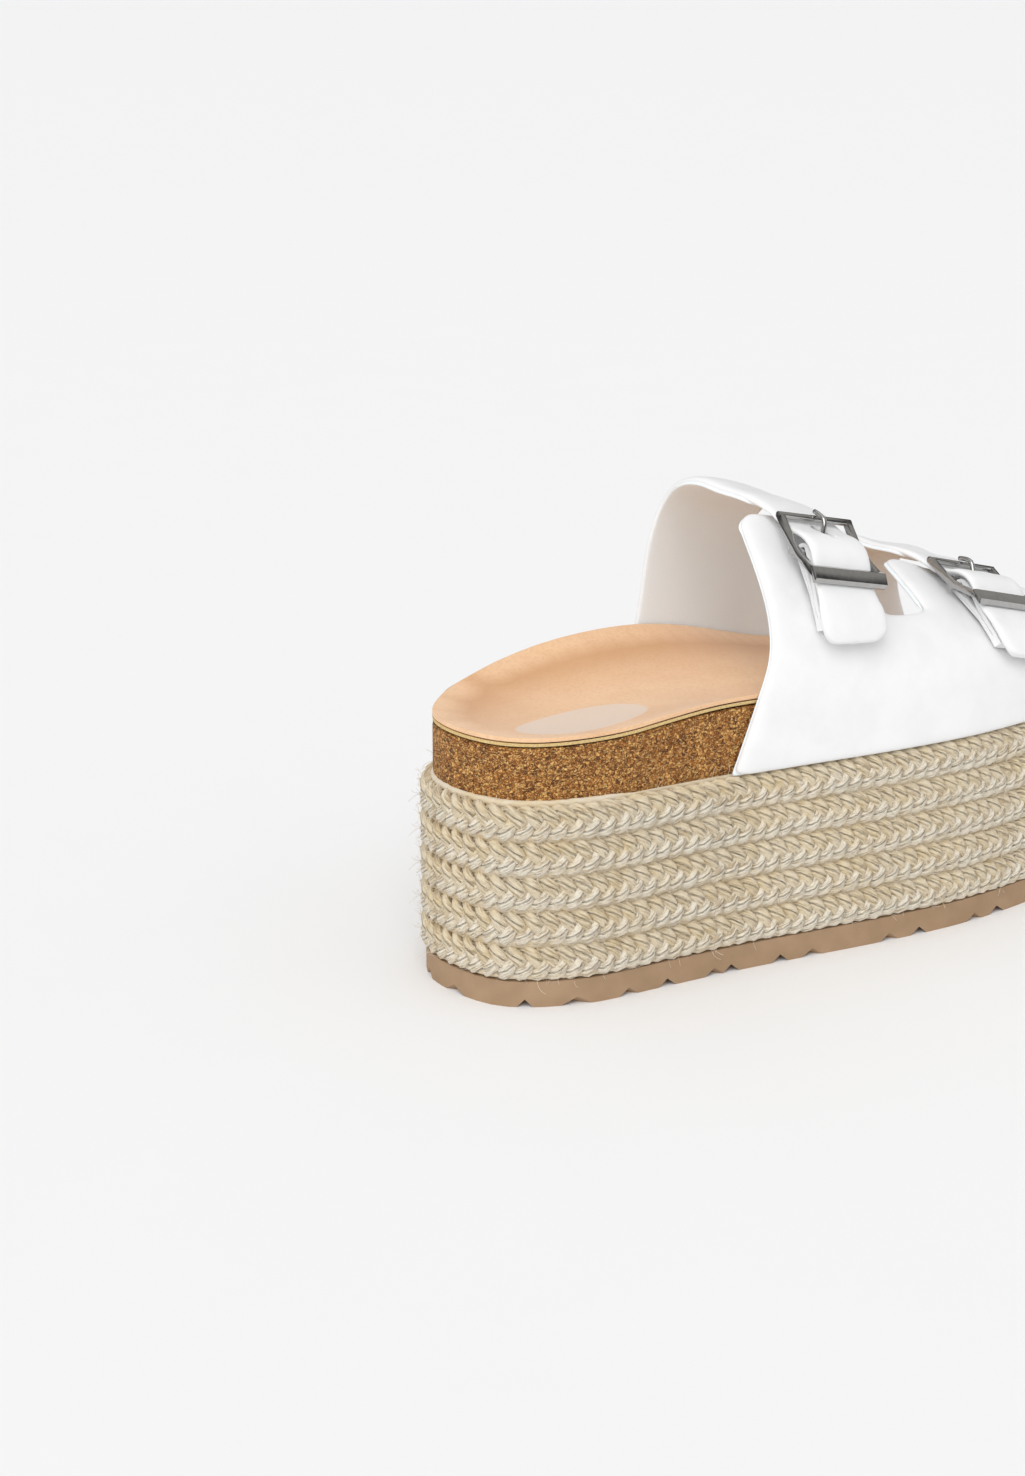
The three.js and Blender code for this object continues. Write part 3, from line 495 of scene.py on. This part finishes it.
level_out = Value(plait, along.socket.node.outputs["level"])
fibre_way = plait.vector(along_out, around_out, level_out)
on_points = {"data_type": "FLOAT_VECTOR", "domain": "POINT"}
fibre_mark = {"Geometry": mesh, "Name": "fibre", "Value": fibre_way}
mesh = plait.node("GeometryNodeStoreNamedAttribute", on_points, fibre_mark)
mesh = plait.node("GeometryNodeSetShadeSmooth", {}, {"Geometry": mesh})

# Stitched yarns in the seams above and below each row, and stray fibres that stand off its strands.
yarns = plait.node("GeometryNodeJoinGeometry", {}, {})
wander = (slack - 0.5) * (0.8 * MM)
seam_places = (
    (plait.input("Seam_out"), plait.input("Seam_up") + wander),
    (plait.input("Lower_seam_out"), wander - plait.input("Lower_seam_down")),
)
for out, up in seam_places:
    beside = plait.combine("ADD", plait.combine("SCALE", out_way, out), plait.vector(z=up))
    yarn = plait.node("GeometryNodeSetPosition", {}, {"Geometry": bare_line, "Offset": beside})
    plait.tree.links.new(yarn.socket, yarns.socket.node.inputs["Geometry"])
seam = plait.node("GeometryNodeSetCurveNormal", {"mode": "Z_UP"}, {"Curve": yarns})
seam_section = {"Resolution": 8, "Radius": plait.input("Seam_radius")}
seam_section = plait.node("GeometryNodeCurvePrimitiveCircle", {}, seam_section)
seam = plait.node("GeometryNodeCurveToMesh", {}, {"Curve": seam, "Profile Curve": seam_section})
seam = plait.node("GeometryNodeSetShadeSmooth", {}, {"Geometry": seam})
spread = {"Mesh": mesh, "Density": plait.input("Hairs_a_square_metre")}
spots = plait.node("GeometryNodeDistributePointsOnFaces", {}, spread)
stand = Value(plait, spots.socket.node.outputs["Rotation"])
least_lean = (-HAIR_LEAN, -HAIR_LEAN, -HAIR_SPIN)
most_lean = (HAIR_LEAN, HAIR_LEAN, HAIR_SPIN)
leans = {0: least_lean, 1: most_lean, "Seed": LEAN_SEED}
lean = plait.node("FunctionNodeRandomValue", {"data_type": "FLOAT_VECTOR"}, leans)
turned = {"Rotation": stand, "Rotate By": lean}
stand = plait.node("FunctionNodeRotateRotation", {"rotation_space": "LOCAL"}, turned)
sizes = {2: SHORTEST_HAIR, 3: 1.0, "Seed": LENGTH_SEED}
size = plait.node("FunctionNodeRandomValue", {"data_type": "FLOAT"}, sizes, output=1)
tip = plait.vector(x=plait.input("Hair_length") * 0.45, z=plait.input("Hair_length") * 0.8)
middle = plait.vector(z=plait.input("Hair_length") * 0.6)
bend = {"Resolution": 6, "Start": (0, 0, 0), "Middle": middle, "End": tip}
hair = plait.node("GeometryNodeCurveQuadraticBezier", {}, bend)
hair_section = {"Resolution": 3, "Radius": plait.input("Hair_radius")}
hair_section = plait.node("GeometryNodeCurvePrimitiveCircle", {}, hair_section)
closed = {"Curve": hair, "Profile Curve": hair_section, "Fill Caps": True}
hair = plait.node("GeometryNodeCurveToMesh", {}, closed)
hairs = {"Points": spots, "Instance": hair, "Rotation": stand, "Scale": size}
hairs = plait.node("GeometryNodeInstanceOnPoints", {}, hairs)
whole = plait.node("GeometryNodeJoinGeometry", {}, {})
for part in (mesh, seam, hairs):
    plait.tree.links.new(part.socket, whole.socket.node.inputs["Geometry"])
plait.end(whole)

paint = finish("jute yarn")
fibre = paint.node("ShaderNodeAttribute", {"attribute_name": "fibre"}, output="Vector")
stretched = paint.node("ShaderNodeMapping", {}, {"Vector": fibre, "Scale": (0.9, 16, 1)})
fibres = paint.noise(stretched, 1.0, detail=3, roughness=0.6, distortion=0.3)
stretched = paint.node("ShaderNodeMapping", {}, {"Vector": fibre, "Scale": (2, 60, 1)})
fine = paint.noise(stretched, 1.0, detail=2)
where = paint.place()
patch = paint.noise(where, 0.07, detail=1)
tuft = paint.noise(where, 0.35, detail=2)
straw = paint.mix(paint.grey(tuft, 0.4, 0.65), srgb(236, 224, 202), srgb(226, 208, 173))
straw = paint.mix(paint.grey(patch, 0.42, 0.62) * 0.5, straw, srgb(236, 230, 216))
level = paint.node("ShaderNodeSeparateXYZ", {}, {0: fibre}, output=2)
# Painted light: each strand is coloured darker and yellower where it runs in the upper half of its row
# (painted shade) and paler where it runs in the lower half (painted highlight).
straw = paint.mix(paint.grey(level, -0.2, 0.5) * 0.4, straw, srgb(218, 198, 158))
straw = paint.mix(paint.grey(level, -0.5, 0.1, 0.4, 0.0), straw, srgb(244, 238, 224))
straw = paint.mix(paint.grey(fibres, 0.32, 0.52, 0.8, 0.0), straw, srgb(158, 134, 96))
straw = paint.mix(paint.grey(fine, 0.6, 0.75) * 0.6, straw, srgb(250, 245, 232))
relief = paint.bump(fibres, 0.55, normal=paint.bump(fine, 0.2))
jute = paint.surface(
    Base_Color=straw, Roughness=0.9, Normal=relief, Sheen_Weight=0.15, Specular_IOR_Level=0.2
)

core_ring = ring_of("platform_core")
braid_line = pushed(core_ring, PLAIT_STAND_OFF * MM)
rows = sorted(name for name in cad_nodes if name.startswith("jute_braid_"))
for i, row in enumerate(rows):
    low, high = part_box(row)
    level = (low[2] + high[2]) / 2
    piece = loop_object(f"plait_{i + 1}", [Vector((p.x, p.y, level)) for p in braid_line])
    seam_out = TOP_SEAM_OUT if row == rows[-1] else SEAM_OUT
    plait.grow(piece, Material=jute, Seed=ROW_SEED_STEP * i, Seam_out=seam_out * MM)
    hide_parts(row)
    done(piece, "shoe", jute)


# --- Cork footbed ---
# A block of pressed cork granules, glued on top of the core, sanded at the sides and dished for
# the foot.
def soften(piece, levels, crease=0.0, angle=50):
    """Rounds a piece by subdivision and keeps the result. Its sharp lying edges keep a crease."""
    if crease:
        bm = bmesh.new()
        bm.from_mesh(piece.data)
        layer = bm.edges.layers.float.new("crease_edge")
        for edge in bm.edges:
            upright = abs((edge.verts[0].co - edge.verts[1].co).normalized().z) > 0.6
            if edge.is_manifold and not upright and edge.calc_face_angle(0) > math.radians(angle):
                edge[layer] = crease
        bm.to_mesh(piece.data)
        bm.free()
    modifier = piece.modifiers.new("round", "SUBSURF")
    modifier.levels = modifier.render_levels = levels
    apply_modifiers(piece)


CHIPS_A_MM = 1.3
cork = solid_copy("cork_block", "cork_footbed", quads=True)
soften(cork, 3, crease=0.95)
paint = finish("pressed cork")
where = paint.place()
warp_by = paint.noise(where, 0.8, detail=2)
bent = paint.node("ShaderNodeVectorMath", {"operation": "ADD"}, {0: where, 1: warp_by})
chipped = {"Vector": bent, "Scale": CHIPS_A_MM}
chips = paint.node("ShaderNodeTexVoronoi", {}, chipped, output="Color")
tone = paint.node("ShaderNodeSeparateColor", {}, {"Color": chips}, output=0)
edges = paint.node("ShaderNodeTexVoronoi", {"feature": "DISTANCE_TO_EDGE"}, chipped)
flecks = paint.noise(where, 2.6, detail=2)
cork_stops = [
    (0.0, srgb(94, 54, 24)),
    (0.3, srgb(154, 96, 40)),
    (0.7, srgb(184, 119, 54)),
    (1.0, srgb(234, 178, 102)),
]
cork_colour = paint.ramp(tone, cork_stops)
cork_colour = paint.mix(paint.grey(edges, 0.0, 0.12, 0.55, 0.0), cork_colour, srgb(104, 62, 28))
cork_colour = paint.mix(paint.grey(flecks, 0.6, 0.68) * 0.75, cork_colour, srgb(238, 204, 150))
cork_colour = paint.mix(paint.grey(flecks, 0.28, 0.38, 0.7, 0.0), cork_colour, srgb(74, 44, 22))
slivers = paint.noise(paint.place((0.7, 0.7, 1.9)), 1.5, detail=1, distortion=0.6)
cork_colour = paint.mix(paint.grey(slivers, 0.6, 0.64) * 0.8, cork_colour, srgb(224, 184, 118))
cork_colour = paint.mix(paint.grey(slivers, 0.33, 0.38, 0.6, 0.0), cork_colour, srgb(96, 58, 28))
pits = paint.bump(paint.grey(edges, 0.0, 0.15) + flecks * 0.6, 0.25)
sanded = paint.surface(Base_Color=cork_colour, Roughness=0.75, Normal=pits, Specular_IOR_Level=0.3)
done(cork, "shoe", sanded)


# --- Woven layer ---
# A thin straw-coloured backing cloth, glued between the cork and the suede. It shows as a light
# line round the edge of the footbed.
woven = solid_copy("woven_backing", "footbed_woven_layer", quads=True)
soften(woven, 3, crease=0.9)
paint = finish("backing cloth")
threads = paint.noise(paint.place((1, 1, 3)), 2.2, detail=2)
cloth = paint.mix(paint.grey(threads, 0.35, 0.65), srgb(196, 164, 104), srgb(232, 206, 150))
backing = paint.surface(Base_Color=cloth, Roughness=0.9, Normal=paint.bump(threads, 0.15))
done(woven, "shoe", backing)


# --- Suede insole ---
# Peach suede glued over the backing cloth and brushed to a short nap, with painted shade where
# the footbed dips beside its rim, and a plain pale oval at the heel.
VALLEY_SHADE_REACH = 36
OVAL_X = 14.5
OVAL_Y = -86
OVAL_HALF_WIDTH = 10.5
OVAL_HALF_LENGTH = 20.5


def ring_of_side(cad_name):
    """Points round the outermost edge of a CAD sheet."""
    bm = bmesh.new()
    bm.from_mesh(cad_nodes[cad_name].data)
    bmesh.ops.remove_doubles(bm, verts=bm.verts, dist=WELD * MM)
    walls = [f for f in bm.faces if abs(f.normal.z) < 0.3]
    points = [v.co.copy() for v in {v for f in walls for v in f.verts}]
    bm.free()
    return points


insole = solid_copy("suede_sock", "suede_insole", quads=True)
soften(insole, 3, crease=0.8)
insole_ring = ring_of_side("suede_insole")
inset = insole.data.attributes.new("inset", "FLOAT", "POINT")
for i, vert in enumerate(insole.data.vertices):
    inset.data[i].value = min((vert.co - p).to_2d().length for p in insole_ring)
paint = finish("peach suede")
where = paint.place()
nap = paint.noise(where, 5.0, detail=3, roughness=0.7)
brushed = paint.noise(paint.place((1, 0.4, 1)), 0.16, detail=3)
cloud = paint.noise(where, 0.035, detail=2)
suede = paint.mix(paint.grey(brushed, 0.3, 0.7), srgb(242, 199, 156), srgb(247, 207, 166))
suede = paint.mix(paint.grey(cloud, 0.4, 0.6) * 0.3, suede, srgb(226, 181, 140))
suede = paint.mix(paint.grey(nap, 0.5, 0.8) * 0.35, suede, srgb(206, 160, 118))
mottle = paint.noise(where, 0.9, detail=4, roughness=0.7)
suede = paint.mix(paint.grey(mottle, 0.45, 0.7) * 0.4, suede, srgb(214, 166, 122))
# Painted shade: the suede is coloured darker in the dip a little in from its rim, most on the inner side.
inset = paint.node("ShaderNodeAttribute", {"attribute_name": "inset"}, output="Fac")
across = paint.node("ShaderNodeSeparateXYZ", {}, {0: where}, output=0)
inner_side_shade = paint.grey(across, -12, 12, 1.0, 0.25)
valley_shade_stops = [
    (0.0, (0, 0, 0)),
    (0.12, (0.1, 0.1, 0.1)),
    (0.3, (1, 1, 1)),
    (0.55, (0.45, 0.45, 0.45)),
    (1.0, (0, 0, 0)),
]
valley_shade = paint.ramp(paint.grey(inset, 0.0, VALLEY_SHADE_REACH * MM), valley_shade_stops)
suede = paint.mix(valley_shade * inner_side_shade * 0.8, suede, srgb(206, 152, 104))
spot_sockets = {
    "Vector": where,
    "Location": (-OVAL_X / OVAL_HALF_WIDTH, -OVAL_Y / OVAL_HALF_LENGTH, 0),
    "Scale": (1 / OVAL_HALF_WIDTH, 1 / OVAL_HALF_LENGTH, 0),
}
spot = paint.node("ShaderNodeMapping", {}, spot_sockets)
from_middle = paint.node("ShaderNodeVectorMath", {"operation": "LENGTH"}, {0: spot}, output="Value")
suede = paint.mix(paint.grey(from_middle + nap * 0.03, 1.0, 1.03, 0.7, 0.0), suede, srgb(228, 212, 198))
suede_finish = paint.surface(
    Base_Color=suede, Roughness=0.95, Normal=paint.bump(nap, 0.1), Sheen_Weight=0.3, Specular_IOR_Level=0.15
)
done(insole, "shoe", suede_finish)


# --- Uppers and linings ---
# Smooth white coated leather over a thin foam, turned over at the edges, with a matt off-white
# lining glued inside.
paint = finish("white leather")
where = paint.place()
pebble = paint.node("ShaderNodeTexVoronoi", {"feature": "SMOOTH_F1"}, {"Vector": where, "Scale": 2.0})
crease = paint.noise(where, 0.08, detail=3)
white = paint.mix(paint.grey(crease, 0.4, 0.6), srgb(243, 243, 243), srgb(239, 239, 239))
relief = paint.bump(crease, 0.08, normal=paint.bump(pebble, 0.03))
leather = paint.surface(Base_Color=white, Roughness=0.5, Normal=relief, Specular_IOR_Level=0.35)

paint = finish("off-white lining")
where = paint.place()
nap = paint.noise(where, 4.0, detail=2)
# The lining's own off-white is set paler and cooler than the cloth, as painted light that makes up for the
# dim, warm light inside the shoe.
soft = paint.mix(paint.grey(nap, 0.35, 0.65), srgb(246, 252, 255), srgb(240, 247, 252))
lining = paint.surface(Base_Color=soft, Roughness=0.85, Normal=paint.bump(nap, 0.06), Specular_IOR_Level=0.2)

HEM_REACH = 0.5
HEM_TURN = 1.4
BUCKLE_REACH = 20
BUCKLE_PRESS = 0.15


def thin_near(panel, buckle, depth):
    """Presses a panel flatter by depth where it runs through a buckle."""
    low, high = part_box(buckle)
    middle = (Vector(low) + Vector(high)) / 2
    pressed = [v.co - v.normal * depth * MM for v in panel.data.vertices]
    for vert, spot in zip(panel.data.vertices, pressed):
        if (vert.co - middle).length < BUCKLE_REACH * MM:
            vert.co = spot


def turn_hem(panel, backing):
    """Pulls the rim of a panel's inner face over the edge of the lining that lies against it."""
    bm = bmesh.new()
    bm.from_mesh(cad_nodes[backing].data)
    near = BVHTree.FromBMesh(bm)
    bm.free()
    bm = bmesh.new()
    bm.from_mesh(panel.data)
    sharp = math.radians(50)
    rim = {v for e in bm.edges if e.is_manifold and e.calc_face_angle(0) > sharp for v in e.verts}
    for vert in rim:
        spot, _, _, distance = near.find_nearest(vert.co)
        if 0 < distance < HEM_REACH * MM:
            vert.co += (spot - vert.co).normalized() * HEM_TURN * MM
    bm.to_mesh(panel.data)
    bm.free()


for cad_name in ("lateral_upper", "medial_upper"):
    panel = solid_copy(f"{cad_name}_leather", cad_name, quads=True)
    turn_hem(panel, f"{cad_name}_lining")
    soften(panel, 2)
    for buckle in ("rear_buckle_frame", "front_buckle_frame"):
        thin_near(panel, buckle, BUCKLE_PRESS)
    done(panel, "shoe", leather)
    back = solid_copy(f"{cad_name}_lining_sheet", f"{cad_name}_lining", quads=True)
    soften(back, 2, crease=0.5)
    done(back, "shoe", lining)


# --- Keeper straps ---
# A short leather strap folded round each buckle's centre bar and stitched down to the tab of the
# lateral upper.
def crisp(piece, width, angle=35):
    """Small bevels on the sharp edges, with smooth faces between them."""
    modifier = piece.modifiers.new("edge", "BEVEL")
    modifier.width = width * MM
    modifier.segments = 2
    modifier.limit_method = "ANGLE"
    modifier.angle_limit = math.radians(angle)
    modifier.harden_normals = True
    apply_modifiers(piece)
    piece.data.set_sharp_from_angle(angle=math.radians(angle))


for end in ("rear", "front"):
    keeper = solid_copy(f"{end}_keeper", f"{end}_keeper_strap")
    crisp(keeper, 0.25)
    done(keeper, "shoe", leather)


# --- Buckles ---
# Cast and chromed frames with a thin top bar, bowed sides and a broad bevelled lower bar, and a
# bent wire prong on the centre bar.
paint = finish("chrome plate")
haze = paint.noise(paint.place(), 0.6, detail=3)
metal = paint.mix(haze, srgb(168, 167, 165), srgb(190, 189, 188))
chrome = paint.surface(Base_Color=metal, Metallic=1.0, Roughness=paint.grey(haze, 0.3, 0.7, 0.1, 0.2))
for end in ("rear", "front"):
    buckle = solid_copy(f"{end}_buckle", f"{end}_buckle_frame")
    crisp(buckle, 0.2)
    done(buckle, f"{end}_buckle", chrome)
    tongue = solid_copy(f"{end}_tongue", f"{end}_prong")
    tongue.data.set_sharp_from_angle(angle=math.radians(40))
    done(tongue, f"{end}_buckle_prong", chrome)


# --- Size ---
# The outside boxes of the CAD shoe and of the finished one are kept beside each other.
seen_low, seen_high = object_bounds()
sizes = {"cad": [list(cad_low), list(cad_high)], "visual": [list(seen_low), list(seen_high)]}
